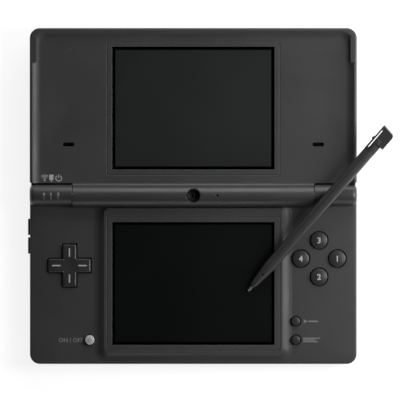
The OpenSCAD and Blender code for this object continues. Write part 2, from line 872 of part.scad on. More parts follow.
module lid_face_shell() color(dark) {
  difference() {
    union() {
      difference() {
        mirror([0, 1, 0])
          half_form(half_d, -lid_y, lid_split_z, rim_z, 0, edge_r, face_root_r);
        tray_space();
        for (s = [-1, 1])
          rounded_block(s * bumper_x - 0.85, s * bumper_x + 0.85, bumper_y,
            bumper_y + bumper_len, bumper_z, rim_z + 1, 0.7);
      }
      bar(-mid_half, mid_half, 0, axis_z, barrel_r);
      block(-mid_half, mid_half, 0, lid_y + 1, axis_z - 3.9, lid_face_z);
      along_x(-mid_half, mid_half)
        difference() {
          translate([barrel_r - 1, axis_z - 0.5])
            square([cove_y - barrel_r + 1, cove_z * barrel_r / (barrel_r + cove_r) + 0.5]);
          translate([cove_y, axis_z + cove_z])
            circle(r = cove_r);
        }
    }
    lid_cavity(lid_split_z - 1, lid_face_z - 1.4);
    block(-window_w / 2, window_w / 2, upper_window_y, upper_window_y + window_d,
      lid_face_z - 2, lid_face_z + 1);
    frame_line(upper_window_y, lid_face_z);
    translate([0, 0, lid_face_z - 3])
      linear_extrude(5)
        for (s = [-1, 1])
          slot_plan(s * (hw - speaker_inset), speaker_y, 4.9, 1.7);
    for (i = [2, 3])
      translate([0, 0, lid_face_z - 0.6])
        linear_extrude(2)
          slot_plan(screw_pos[i][0], screw_pos[i][1], 3.3, 1.5);
    // the inner camera's dish and pocket, the microphone's hole and pocket
    post(0.1, 0.3, axis_z - 1, axis_z + barrel_r + 1, 2.98);
    post(10.1, 0.2, axis_z + 1, axis_z + barrel_r + 1, 0.55);
    post(10.1, 0.2, axis_z - 1.05, axis_z + 2.05, 1.65);
    block(8.4, 11.8, -1.5, 3, axis_z - 4.6, axis_z - 1);
    // bores for the pin, the flex and the clutch
    bar(-mid_half - 1, -mid_half + 7, 0, axis_z, pin_r + pin_gap);
    bar(-mid_half + 6.9, -mid_half + 27, 0, axis_z, 2.8);
    block(-mid_half + 8, -mid_half + 26, 0, lid_y + 3, axis_z - 2.8, axis_z - 1.4);
    bar(mid_half - 12.5, mid_half + 1, 0, axis_z, 3);
  }
  for (p = screw_pos)
    difference() {
      post(p[0], p[1], lid_split_z + 0.1, lid_face_z - 1.3, boss_r - 0.3);
      post(p[0], p[1], lid_split_z - 1, lid_face_z - 1.9, 1);
    }
}

module lid_back_shell() color(dark) {
  difference() {
    mirror([0, 1, 0])
      half_form(half_d, -lid_y, lid_back_z, lid_split_z, under_r, seam_r, root_r);
    difference() {
      lid_cavity(lid_back_z + wall, lid_split_z + 1);
      for (p = screw_pos)
        post(p[0], p[1], lid_back_z, lid_split_z, boss_r - 0.2);
    }
    post(camera_pos[0], camera_pos[1], lid_back_z - 1, lid_back_z + 3, 3);
    for (p = screw_pos)
      post(p[0], p[1], lid_back_z + 0.9, lid_split_z + 1, 1);
  }
}

module lid_lcd() color(black) {
  block(-window_w / 2 - 1.6, window_w / 2 + 1.6, upper_window_y - 1.4,
    upper_window_y + window_d + 1.4, lid_face_z - 4, lid_face_z - 1.45);
}

module lid_lens() color([0.11, 0.12, 0.12]) {
  block(-window_w / 2 + seat, window_w / 2 - seat, upper_window_y + seat,
    upper_window_y + window_d - seat, lid_face_z - 1.4, lid_face_z - 0.6);
}

module speaker(x) {
  block(x - speaker_w / 2, x + speaker_w / 2, speaker_y - speaker_d / 2,
    speaker_y + speaker_d / 2, lid_face_z - 4.6, lid_face_z - 1.9);
  post(x, speaker_y, lid_face_z - 5.4, lid_face_z - 4.6, speaker_d * 0.32);
}

module speaker_left() color(black)
  speaker(-hw + speaker_inset);

module speaker_right() color(black)
  speaker(hw - speaker_inset);

module speaker_meshes() color([0.08, 0.08, 0.08]) {
  for (s = [-1, 1])
    translate([0, 0, lid_face_z - 1.85])
      linear_extrude(0.4)
        slot_plan(s * (hw - speaker_inset), speaker_y, speaker_w / 2, 4);
}

module inner_camera() color(black) {
  post(0.1, 0.3, axis_z - 0.9, axis_z + 1.6, 2.4);
  difference() {
    post(0.1, 0.3, axis_z + 1.6, axis_z + 3.4, 2.55);
    translate([0.1, 0.3, axis_z + 2.2])
      cylinder(r1 = 0.7, r2 = 2.5, h = 1.3);
  }
  translate([0.1, 0.3, axis_z + 1.7])
    sphere(r = 0.9);
}

module camera_ring() color(metal) {
  intersection() {
    difference() {
      post(0.1, 0.3, axis_z + 2.4, axis_z + barrel_r + 1, 2.95);
      post(0.1, 0.3, axis_z + 1, axis_z + barrel_r + 2, 2.6);
    }
    bar(-5, 5, 0, axis_z, barrel_r + 0.04);
  }
}

module microphone() color(metal) {
  post(10.1, 0.2, axis_z - 1, axis_z + 2, 1.6);
}

module outer_camera() color(black) {
  post(camera_pos[0], camera_pos[1], lid_back_z + 0.9, lid_back_z + 4.6, 2.6);
}

module outer_camera_window() color([0.1, 0.1, 0.12]) {
  post(camera_pos[0], camera_pos[1], lid_back_z, lid_back_z + 0.85, 2.95);
}

module display_flex() color([0.7, 0.45, 0.12]) {
  x0 = -mid_half + 9;
  difference() {
    bar(x0, x0 + 16, 0, axis_z, 2.7);
    bar(x0 - 1, x0 + 17, 0, axis_z, 2.4);
  }
  block(x0, x0 + 16, 1.4, upper_window_y - 1.5, axis_z - 2.3, axis_z - 2.1);
}

module lid_bumpers() color(black) {
  for (s = [-1, 1])
    rounded_block(s * bumper_x - 0.85 + seat, s * bumper_x + 0.85 - seat, bumper_y + seat,
      bumper_y + bumper_len - seat, bumper_z, rim_z + 0.04, 0.65);
}

module lid_screws() color(metal) {
  for (p = screw_pos)
    post(p[0], p[1], lid_back_z + 1, lid_face_z - 2, 0.95);
}

module lid_screw_covers() color(dark) {
  for (i = [2, 3])
    translate([0, 0, lid_face_z - 0.6])
      linear_extrude(0.58)
        slot_plan(screw_pos[i][0], screw_pos[i][1], 3.2, 1.4);
}

module lid_magnet() color(metal) {
  block(hw - 8, hw - 4, 38, 41, lid_face_z - 3.4, lid_face_z - 1.45);
}

module hinge_clutch() color(metal) {
  difference() {
    bar(mid_half - 12, mid_half - 0.2, 0, axis_z, 3);
    bar(mid_half - 8.5, mid_half + 1, 0, axis_z, pin_r + pin_gap);
  }
}

lower_face_shell();
lower_base_shell();
battery_cover();
battery_cover_screws();
case_screws();
battery();
battery_contacts();
main_board();
board_shields();
wifi_module();
touch_lcd();
touch_panel();
card_slot();
card_contacts();
sd_slot();
headphone_jack();
charge_socket();
stylus_holder();
shoulder_switches();
volume_switches();
button_domes();
light_guides();
hinge_pin();
clutch_shaft();
sd_door();
shoulder_left();
shoulder_right();
volume_up();
volume_down();
cross_pivot();
direction_cross();
button_1();
button_2();
button_3();
button_4();
start_button();
select_button();
power_button();
stylus_shaft();
stylus_cap();
stylus_nib();
lid_face_shell();
lid_back_shell();
lid_lcd();
lid_lens();
speaker_left();
speaker_right();
speaker_meshes();
inner_camera();
camera_ring();
microphone();
outer_camera();
outer_camera_window();
display_flex();
lid_bumpers();
lid_screws();
lid_screw_covers();
lid_magnet();
hinge_clutch();
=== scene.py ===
# %% [markdown]
# # A clamshell handheld game console, opened flat
# The real object is a dark grey plastic clamshell: a lower half with a touch screen and buttons, a
# lid with a second screen, a round hinge between them, and a thin stylus that lies from the touch
# screen to the right end of the hinge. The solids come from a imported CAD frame, so this lesson is
# about finishes, small parts and light. Blender's unit is the metre: small sizes are written as
# millimetres times mm, and profiles in plain millimetres. The origin is on the table below the
# middle of the hinge.

import bpy
import bmesh
import json
import math
from mathutils import Matrix, Vector


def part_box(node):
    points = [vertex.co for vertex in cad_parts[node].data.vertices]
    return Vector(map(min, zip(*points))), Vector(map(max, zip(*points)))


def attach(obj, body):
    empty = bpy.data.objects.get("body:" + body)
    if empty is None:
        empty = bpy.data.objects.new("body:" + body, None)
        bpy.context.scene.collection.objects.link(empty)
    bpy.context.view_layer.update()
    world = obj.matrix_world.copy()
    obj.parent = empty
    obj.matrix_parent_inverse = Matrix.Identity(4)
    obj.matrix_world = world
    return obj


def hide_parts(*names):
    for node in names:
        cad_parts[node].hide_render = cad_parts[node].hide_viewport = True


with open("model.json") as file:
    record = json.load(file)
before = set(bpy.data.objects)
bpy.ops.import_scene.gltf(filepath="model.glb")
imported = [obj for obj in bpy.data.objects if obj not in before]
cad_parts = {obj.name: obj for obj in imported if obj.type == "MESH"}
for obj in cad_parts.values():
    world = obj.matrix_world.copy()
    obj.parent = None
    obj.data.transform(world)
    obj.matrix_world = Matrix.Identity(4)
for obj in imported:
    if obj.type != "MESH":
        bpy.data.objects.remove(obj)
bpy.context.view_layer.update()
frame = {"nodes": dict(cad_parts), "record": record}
nodes = frame["nodes"]
scene = bpy.context.scene
mm = 0.001


# %% [markdown]
# ## Camera
# The photograph looks straight down on the console. A long lens keeps the sides from showing, and a
# perspective camera is used so that other views can be refitted around the object. The view is
# 167.7 mm wide at the height of the console's face, centred a little to the right of its middle.

# %% The camera
view_width = 167.66 * mm
view_centre = Vector((2.82 * mm, -1.63 * mm, 0.0))
face_height = 10.5 * mm
lens_length, sensor = 600.0, 36.0
distance = view_width * lens_length / sensor

camera_data = bpy.data.cameras.new("camera")
camera_data.lens = lens_length
camera_data.sensor_width = sensor
camera = bpy.data.objects.new("camera", camera_data)
camera.location = view_centre + Vector((0, 0, face_height + distance))
scene.collection.objects.link(camera)
scene.camera = camera
print("camera height", round(camera.location.z, 3), "m")


# %% [markdown]
# ## Light
# The console is lit like a catalogue picture: a soft lamp high on the right, a large one beyond the
# lid, and a weak one in front. Area lamps are used, because their broad faces draw the soft bands
# that run along the round barrels. Each is turned towards the spot that it lights.

# %% Soft lamps
def soft_lamp(name, place, target, width, height, power):
    data = bpy.data.lights.new(name, "AREA")
    data.shape = "RECTANGLE"
    data.size, data.size_y = width, height
    data.energy = power
    lamp = bpy.data.objects.new(name, data)
    lamp.location = place
    lamp.rotation_euler = (Vector(target) - Vector(place)).to_track_quat("-Z", "Y").to_euler()
    scene.collection.objects.link(lamp)


soft_lamp("key_lamp", (0.30, 0.02, 0.22), (0.03, 0, 0), 0.16, 0.30, 1.33)
soft_lamp("far_lamp", (0.22, 0.62, 0.27), (0.03, 0, 0.03), 0.60, 0.54, 4.0)
soft_lamp("near_lamp", (0.05, -0.62, 0.20), (0, 0, 0), 0.60, 0.14, 0.45)

# %% [markdown]
# ## Helpers for shader nodes
# Every mask below is a little arithmetic on coordinates or rays. Four helpers add one node each and
# return what it puts out, so that a mask reads like a formula. A value that is handed to them may be
# a plain number or colour, or another node's socket, which is then linked.

# %% Arithmetic, ramps and mixed colours
def feed(tree, socket, value):
    if isinstance(value, bpy.types.NodeSocket):
        tree.links.new(value, socket)
    else:
        socket.default_value = value


def calculate(tree, operation, *values):
    node = tree.nodes.new("ShaderNodeMath")
    node.operation = operation
    for socket, value in zip(node.inputs, values):
        feed(tree, socket, value)
    return node.outputs[0]


def ramp(tree, value, start, stop, low=0.0, high=1.0, kind="LINEAR"):
    node = tree.nodes.new("ShaderNodeMapRange")
    node.interpolation_type = kind
    labels = ("Value", "From Min", "From Max", "To Min", "To Max")
    for label, given in zip(labels, (value, start, stop, low, high)):
        feed(tree, node.inputs[label], given)
    return node.outputs["Result"]


def mix_colours(tree, factor, first, second):
    node = tree.nodes.new("ShaderNodeMix")
    node.data_type = "RGBA"
    for label, given in (("Factor", factor), ("A", first), ("B", second)):
        feed(tree, node.inputs[label], given)
    return node.outputs["Result"]


def axes_of(tree, vector):
    node = tree.nodes.new("ShaderNodeSeparateXYZ")
    tree.links.new(vector, node.inputs[0])
    return node.outputs


print("node helpers ready")


# %% [markdown]
# ## Background
# A catalogue picture has a white background, but a white room would light the dark plastic from all
# sides. So the world is nearly black, and only the camera and rays through glass see it white. Shiny
# flanks see a white band that stands low round the console, which draws thin lights along them, and
# the dark room above the band keeps the flat faces dark.

# %% The world
band_top, band_foot = 0.25, 0.10
room_strength = 0.012

world = bpy.data.worlds.new("studio")
scene.world = world
world.use_nodes = True
sky = world.node_tree
sky.nodes.clear()


def background(strength):
    node = sky.nodes.new("ShaderNodeBackground")
    node.inputs["Color"].default_value = (1, 1, 1, 1)
    node.inputs["Strength"].default_value = strength
    return node.outputs[0]


ray = sky.nodes.new("ShaderNodeLightPath")
direction = sky.nodes.new("ShaderNodeTexCoord")
steepness = axes_of(sky, direction.outputs["Generated"])[2]
band = calculate(sky, "MULTIPLY", ramp(sky, steepness, band_top, band_foot), ray.outputs["Is Glossy Ray"])
seen = calculate(sky, "MAXIMUM", ray.outputs["Is Camera Ray"], ray.outputs["Is Transmission Ray"])
pick = sky.nodes.new("ShaderNodeMixShader")
out = sky.nodes.new("ShaderNodeOutputWorld")
sky.links.new(calculate(sky, "MAXIMUM", seen, band), pick.inputs[0])
sky.links.new(background(room_strength), pick.inputs[1])
sky.links.new(background(1.0), pick.inputs[2])
sky.links.new(pick.outputs[0], out.inputs["Surface"])
scene.view_settings.view_transform = "Standard"
print("world ready")

# %% [markdown]
# The floor is one large square, a stage and not a part of the object. To the camera and in
# reflections it glows nearly white and still darkens a little in the console's shadow. All other
# rays meet a plain pale grey, so that the glow lights nothing. Two strips under the hinge's ends are
# painted black. They are a painted shadow that makes the narrow gap beside the end barrels look deep.

# %% The floor
floor_half_width = 2.0
strip_start, strip_end, strip_reach = 49.5 * mm, 68.6 * mm, 6.6 * mm
start_fade, end_fade, reach_fade = 0.8 * mm, 0.7 * mm, 1.2 * mm
floor_glow, painted_shadow_black, shown_grey, plain_grey = 0.86, 0.01, 0.35, 0.6

bm = bmesh.new()
bmesh.ops.create_grid(bm, x_segments=1, y_segments=1, size=floor_half_width)
floor_mesh = bpy.data.meshes.new("floor")
bm.to_mesh(floor_mesh)
bm.free()
floor = bpy.data.objects.new("floor", floor_mesh)
scene.collection.objects.link(floor)

floor_finish = bpy.data.materials.new("floor_white")
floor_finish.use_nodes = True
ground = floor_finish.node_tree
ground.nodes.clear()
print("floor", 2 * floor_half_width, "m wide")

# %% [markdown]
# The strips of painted shadow are a mask on Object coordinates. Taking the absolute value of X and Y
# first makes one mask serve the left and the right end. It is 0 inside a strip and 1 outside, with
# soft edges.

# %% The floor's black strips of painted shadow
coords = ground.nodes.new("ShaderNodeTexCoord")
mirrored = ground.nodes.new("ShaderNodeVectorMath")
mirrored.operation = "ABSOLUTE"
ground.links.new(coords.outputs["Object"], mirrored.inputs[0])
across, along = axes_of(ground, mirrored.outputs[0])[:2]
inboard = ramp(ground, across, strip_start + start_fade, strip_start, kind="SMOOTHSTEP")
past_end = ramp(ground, across, strip_end - end_fade, strip_end, kind="SMOOTHSTEP")
past_hinge = ramp(ground, along, strip_reach - reach_fade, strip_reach, kind="SMOOTHSTEP")
outside = calculate(ground, "MAXIMUM", inboard, calculate(ground, "MAXIMUM", past_end, past_hinge))
print("strips from", round(strip_start / mm, 1), "to", round(strip_end / mm, 1), "mm")

# %% [markdown]
# A diffuse shader shows the shadow and an emission lifts it to white. Light Path then picks this sum
# for the camera and for mirrored rays, and the plain grey for all others.

# %% The floor's shader
def grey(level):
    return (level, level, level, 1)


shown = ground.nodes.new("ShaderNodeBsdfDiffuse")
glow = ground.nodes.new("ShaderNodeEmission")
both = ground.nodes.new("ShaderNodeAddShader")
plain = ground.nodes.new("ShaderNodeBsdfDiffuse")
plain.inputs["Color"].default_value = grey(plain_grey)
paint = mix_colours(ground, outside, grey(painted_shadow_black), grey(shown_grey))
ground.links.new(paint, shown.inputs["Color"])
ground.links.new(calculate(ground, "MULTIPLY", outside, floor_glow), glow.inputs["Strength"])
ground.links.new(shown.outputs[0], both.inputs[0])
ground.links.new(glow.outputs[0], both.inputs[1])

ray = ground.nodes.new("ShaderNodeLightPath")
seen = calculate(ground, "MAXIMUM", ray.outputs["Is Glossy Ray"], ray.outputs["Is Transmission Ray"])
pick = ground.nodes.new("ShaderNodeMixShader")
out = ground.nodes.new("ShaderNodeOutputMaterial")
ground.links.new(calculate(ground, "MAXIMUM", ray.outputs["Is Camera Ray"], seen), pick.inputs[0])
ground.links.new(plain.outputs[0], pick.inputs[1])
ground.links.new(both.outputs[0], pick.inputs[2])
ground.links.new(pick.outputs[0], out.inputs["Surface"])
floor_mesh.materials.append(floor_finish)
print("floor finish ready")


# %% [markdown]
# ## Shared effects
# Moulded plastic shows three things up close: a fine sand-like grain from the steel mould, patches
# that fingers have polished a little, and edges that catch the light. These edges are painted lighter
# here, partly as wear and partly as a painted highlight. Two small node groups make them, with named
# inputs and outputs, so that every material can place them with its own values.

# %% A helper for node groups
def new_group(name, inputs, outputs):
    group = bpy.data.node_groups.new(name, "ShaderNodeTree")
    for label, kind, value in inputs:
        socket = group.interface.new_socket(label, in_out="INPUT", socket_type=kind)
        socket.default_value = value
    for label, kind in outputs:
        group.interface.new_socket(label, in_out="OUTPUT", socket_type=kind)
    enter = group.nodes.new("NodeGroupInput")
    leave = group.nodes.new("NodeGroupOutput")
    return group, enter, leave


print("group helper ready")

# %% [markdown]
# The grain is noise at about a tenth of a millimetre, read from Object coordinates so that it stays
# put on the plastic. A second, much coarser noise gives the polish: it slides the roughness between
# a low and a high value.

# %% Group: moulded grain
grains_per_metre, patches_per_metre = 8000.0, 45.0
patch_low, patch_high = 0.35, 0.65

grain, grain_in, grain_out = new_group(
    "moulded_grain",
    [("Grains per metre", "NodeSocketFloat", grains_per_metre),
     ("Patches per metre", "NodeSocketFloat", patches_per_metre),
     ("Polished", "NodeSocketFloat", 0.42), ("Unpolished", "NodeSocketFloat", 0.56)],
    [("Height", "NodeSocketFloat"), ("Roughness", "NodeSocketFloat")],
)
coords = grain.nodes.new("ShaderNodeTexCoord")


def noise(scale, detail):
    node = grain.nodes.new("ShaderNodeTexNoise")
    node.inputs["Detail"].default_value = detail
    grain.links.new(coords.outputs["Object"], node.inputs["Vector"])
    grain.links.new(scale, node.inputs["Scale"])
    return node.outputs["Fac"]


fine = noise(grain_in.outputs["Grains per metre"], 2.0)
coarse = noise(grain_in.outputs["Patches per metre"], 4.0)
slide = ramp(grain, coarse, patch_low, patch_high,
             grain_in.outputs["Polished"], grain_in.outputs["Unpolished"])
grain.links.new(fine, grain_out.inputs["Height"])
grain.links.new(slide, grain_out.inputs["Roughness"])
print("group", grain.name)

# %% [markdown]
# An edge is found by comparing the true normal with one rounded by the Bevel node. Where they differ,
# the colour moves towards a lighter grey, which is partly rubbed wear and partly a painted highlight.
# It reaches that grey where the cosine between the two normals falls to the threshold set below. The
# rounded normal also leaves the group, so that sharp rims of holes shine as moulded rims do.

# %% Group: rubbed edges with a painted highlight
edge_radius = 0.25 * mm
fully_rubbed_and_lit = 0.72

edges, edges_in, edges_out = new_group(
    "rubbed_and_highlit_edges",
    [("Colour", "NodeSocketColor", (0.05, 0.05, 0.05, 1)),
     ("Rubbed and highlit", "NodeSocketColor", (0.15, 0.15, 0.15, 1)),
     ("Edge radius", "NodeSocketFloat", edge_radius)],
    [("Colour", "NodeSocketColor"), ("Normal", "NodeSocketVector")],
)
rounded = edges.nodes.new("ShaderNodeBevel")
rounded.samples = 6
true_face = edges.nodes.new("ShaderNodeNewGeometry")
likeness = edges.nodes.new("ShaderNodeVectorMath")
likeness.operation = "DOT_PRODUCT"
edges.links.new(edges_in.outputs["Edge radius"], rounded.inputs["Radius"])
edges.links.new(rounded.outputs["Normal"], likeness.inputs[0])
edges.links.new(true_face.outputs["True Normal"], likeness.inputs[1])
# Edges turn lighter here: partly wear, partly a painted highlight.
rubbing_and_sheen = ramp(edges, likeness.outputs["Value"], 1.0, fully_rubbed_and_lit)
tint = mix_colours(edges, rubbing_and_sheen, edges_in.outputs["Colour"], edges_in.outputs["Rubbed and highlit"])
edges.links.new(tint, edges_out.inputs["Colour"])
edges.links.new(rounded.outputs["Normal"], edges_out.inputs["Normal"])
print("group", edges.name)


# %% [markdown]
# ## Finishes
# Each finish is a Principled shader whose colour, roughness and bump come from the groups above.
# What is the same all over, such as how strongly it mirrors, is typed on the shader itself.

# %% A helper for worn surfaces with painted edge highlights
def new_finish(name):
    material = bpy.data.materials.new(name)
    material.use_nodes = True
    tree = material.node_tree
    return material, tree, tree.nodes["Principled BSDF"]


def add_grain(tree, polished, unpolished, grains=grains_per_metre, patches=patches_per_metre):
    node = tree.nodes.new("ShaderNodeGroup")
    node.node_tree = grain
    node.inputs["Grains per metre"].default_value = grains
    node.inputs["Patches per metre"].default_value = patches
    node.inputs["Polished"].default_value = polished
    node.inputs["Unpolished"].default_value = unpolished
    return node


def wear_and_edge_sheen(tree, shader, grained, colour, rubbed_and_lit, edge, strength, depth):
    worn_and_lit = tree.nodes.new("ShaderNodeGroup")
    worn_and_lit.node_tree = edges
    worn_and_lit.inputs["Colour"].default_value = (*colour, 1)
    worn_and_lit.inputs["Rubbed and highlit"].default_value = (*rubbed_and_lit, 1)
    worn_and_lit.inputs["Edge radius"].default_value = edge
    bump = tree.nodes.new("ShaderNodeBump")
    bump.inputs["Strength"].default_value = strength
    bump.inputs["Distance"].default_value = depth
    tree.links.new(grained.outputs["Height"], bump.inputs["Height"])
    tree.links.new(worn_and_lit.outputs["Normal"], bump.inputs["Normal"])
    tree.links.new(bump.outputs["Normal"], shader.inputs["Normal"])
    tree.links.new(worn_and_lit.outputs["Colour"], shader.inputs["Base Color"])
    tree.links.new(grained.outputs["Roughness"], shader.inputs["Roughness"])


print("finish helpers ready")

# %% [markdown]
# The plastics differ in colour, in how light their edges are and in how far they are polished. The
# first colour is the plastic's own. The second is that of an edge, which is lighter partly from wear
# and partly as a painted highlight; on the buttons it stands in for the thin highlights along their
# rims. The two numbers after them are the roughness of a polished and of an untouched patch.

# %% Moulded plastics
grain_strength, grain_depth = 0.6, 0.02 * mm


def moulded(name, colour, rubbed_and_lit, polished, unpolished, edge=edge_radius, depth=grain_depth, gloss=0.5):
    material, tree, shader = new_finish(name)
    shader.inputs["Specular IOR Level"].default_value = gloss
    wear_and_edge_sheen(tree, shader, add_grain(tree, polished, unpolished), colour, rubbed_and_lit, edge, grain_strength, depth)
    return material


case_plastic = moulded("case_plastic", (0.036, 0.036, 0.037), (0.085, 0.085, 0.087),
                       0.44, 0.56, edge=0.3 * mm)
button_plastic = moulded("button_plastic", (0.030, 0.030, 0.031), (0.13, 0.13, 0.133),
                         0.28, 0.36, edge=0.15 * mm)
stylus_plastic = moulded("stylus_plastic", (0.040, 0.040, 0.041), (0.07, 0.07, 0.072),
                         0.26, 0.36, edge=0.3 * mm)
cap_plastic = moulded("cap_plastic", (0.019, 0.019, 0.020), (0.05, 0.05, 0.052),
                      0.4, 0.55, edge=0.3 * mm)
nib_plastic = moulded("nib_plastic", (0.12, 0.123, 0.12), (0.18, 0.18, 0.18),
                      0.35, 0.5, edge=0.2 * mm)
silver_plastic = moulded("silver_plastic", (0.46, 0.47, 0.49), (0.62, 0.62, 0.63),
                         0.3, 0.42, edge=0.2 * mm)
print("moulded plastics ready")

# %% [markdown]
# Rubber, component plastic, the loudspeakers' cloth, the camera's ring and the lenses are black or
# nearly so. Cloth, ring and lens mirror little, because a bright reflection would make them look grey
# from above.

# %% Rubber, cloth and lenses
black_rubber = moulded("black_rubber", (0.012, 0.012, 0.012), (0.03, 0.03, 0.03), 0.6, 0.75)
grey_rubber = moulded("grey_rubber", (0.028, 0.028, 0.029), (0.05, 0.05, 0.05), 0.5, 0.62)
black_part = moulded("black_part", (0.010, 0.010, 0.011), (0.03, 0.03, 0.03), 0.5, 0.65)
mesh_cloth = moulded("mesh_cloth", (0.002, 0.002, 0.002), (0.006, 0.006, 0.006), 0.8, 0.9, gloss=0.1)
# The ring is black, but its edges turn a much lighter grey: a painted highlight that outlines the ring.
ring_plastic = moulded("ring_plastic", (0.003, 0.003, 0.003), (0.10, 0.10, 0.10),
                       0.5, 0.6, edge=0.15 * mm, gloss=0.12)
lens_black = moulded("lens_black", (0.002, 0.002, 0.0022), (0.006, 0.006, 0.006),
                     0.4, 0.5, depth=0.002 * mm, gloss=0.12)
print("dark finishes ready")

# %% [markdown]
# The hinge's barrels come from a better polished part of the mould than the faces, so a lamp draws
# narrower bands along them. A mask on Object coordinates picks them out: near the hinge axis in Y
# and above the faces in Z. Inside it the roughness is scaled down.

# %% Polished barrels
barrel_reach, barrel_foot, barrel_polish = 4.7 * mm, 9.9 * mm, 0.74
reach_blend, foot_blend = 0.3 * mm, 0.4 * mm

tree = case_plastic.node_tree
roughness = tree.nodes["Principled BSDF"].inputs["Roughness"]
grained = roughness.links[0].from_socket
coords = tree.nodes.new("ShaderNodeTexCoord")
_, depth, height = axes_of(tree, coords.outputs["Object"])
from_axis = calculate(tree, "ABSOLUTE", depth)
near_axis = ramp(tree, from_axis, barrel_reach + reach_blend, barrel_reach)
above_face = ramp(tree, height, barrel_foot, barrel_foot + foot_blend)
on_barrel = calculate(tree, "MULTIPLY", near_axis, above_face)
polish = ramp(tree, on_barrel, 0.0, 1.0, 1.0, barrel_polish)
tree.links.new(calculate(tree, "MULTIPLY", grained, polish), roughness)
print("barrels polished")

# %% [markdown]
# The three light guides are unlit, so they show as smoky strips. The end nearest the lid is paler. A
# Map Range node along Object Y makes the change.

# %% Light guides
smoky, pale = (0.10, 0.103, 0.10), (0.25, 0.255, 0.25)
fade_start, fade_stop = 0.1 * mm, 0.8 * mm

light_guide = moulded("light_guide", smoky, (0.10, 0.10, 0.10), 0.25, 0.35)
tree = light_guide.node_tree
coords = tree.nodes.new("ShaderNodeTexCoord")
towards_lid = axes_of(tree, coords.outputs["Object"])[1]
fade = ramp(tree, towards_lid, fade_start, fade_stop)
worn_and_lit = next(n for n in tree.nodes if n.type == "GROUP" and n.node_tree == edges)
tree.links.new(mix_colours(tree, fade, (*smoky, 1), (*pale, 1)), worn_and_lit.inputs["Colour"])
print("light guides fade along the hinge's depth")

# %% [markdown]
# The screens are switched off. Each is nearly black glass, with a black border just inside the
# window, which a box mask on Object coordinates lays down. The border is partly a printed border and
# partly painted shade from the window's step. The touch panel is darker and mirrors less than the
# upper screen. The same mask makes the border a black metal, which mirrors almost nothing, so that
# it stays black under any lamp.

# %% Screens
border_blend = 0.2 * mm
screen_patches, screen_wear = 25.0, 0.06


def border_print_and_shade_mask(tree, low, high, margin):
    coords = tree.nodes.new("ShaderNodeTexCoord")
    place = tree.nodes.new("ShaderNodeMapping")
    place.inputs["Location"].default_value = (-(low.x + high.x) / 2, -(low.y + high.y) / 2, 0)
    tree.links.new(coords.outputs["Object"], place.inputs["Vector"])
    offsets = axes_of(tree, place.outputs[0])
    masks = []
    for axis in (0, 1):
        inner = (high[axis] - low[axis]) / 2 - margin[axis]
        offset = calculate(tree, "ABSOLUTE", offsets[axis])
        masks.append(ramp(tree, offset, inner - border_blend, inner + border_blend))
    return calculate(tree, "MAXIMUM", *masks)


def screen(name, colour, border_and_shade, node, margin, roughness, gloss):
    low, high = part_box(node)
    material, tree, shader = new_finish(name)
    shader.inputs["Specular IOR Level"].default_value = gloss
    mask = border_print_and_shade_mask(tree, low, high, margin)
    grained = add_grain(tree, roughness, roughness + screen_wear, patches=screen_patches)
    tree.links.new(mix_colours(tree, mask, (*colour, 1), (*border_and_shade, 1)), shader.inputs["Base Color"])
    tree.links.new(mask, shader.inputs["Metallic"])
    tree.links.new(grained.outputs["Roughness"], shader.inputs["Roughness"])
    return material


upper_glass = screen("upper_glass", (0.0095, 0.0105, 0.0105), (0.001, 0.001, 0.001), "lid_lens",
                     (1.3 * mm, 1.3 * mm), 0.42, 0.36)
touch_glass = screen("touch_glass", (0.0032, 0.0040, 0.0036), (0.0008, 0.0008, 0.0008), "touch_panel",
                     (2.6 * mm, 2.4 * mm), 0.38, 0.12)
print("screens ready")

# %% [markdown]
# ## Metals and the inside
# Screws, shields, the hinge's pin and the card slots are plain steel, with a coarser grain than the
# plastic and a lighter rim at edges, which is partly wear and partly a painted highlight. The rest of
# the inside is never seen from outside, so it gets usual colours: green boards, an amber flexible
# cable and a silvery battery pouch.

# %% Steel and inner finishes
steel_grains, steel_wear, steel_rim = 3000.0, 0.12, 1.35
steel_strength, steel_depth = 0.4, 0.01 * mm


def metal(name, colour, roughness):
    material, tree, shader = new_finish(name)
    shader.inputs["Metallic"].default_value = 1.0
    rubbed_and_lit = tuple(min(1, part * steel_rim) for part in colour)
    grained = add_grain(tree, roughness, roughness + steel_wear, grains=steel_grains)
    wear_and_edge_sheen(tree, shader, grained, colour, rubbed_and_lit, edge_radius, steel_strength, steel_depth)
    return material


steel = metal("steel", (0.42, 0.42, 0.43), 0.3)
gold_flex = moulded("gold_flex", (0.42, 0.22, 0.05), (0.6, 0.4, 0.1), 0.3, 0.4)
board_green = moulded("board_green", (0.02, 0.10, 0.045), (0.1, 0.2, 0.1), 0.3, 0.5)
pouch = moulded("pouch", (0.25, 0.25, 0.27), (0.4, 0.4, 0.4), 0.25, 0.4)
print("inner finishes ready")

# %% [markdown]
# ## Dressing the frame's own solids
# Most of the console's solids already have their true shape, so they only need a finish. One list
# gives each finish the names of its solids, which shows at a glance what is made of what.

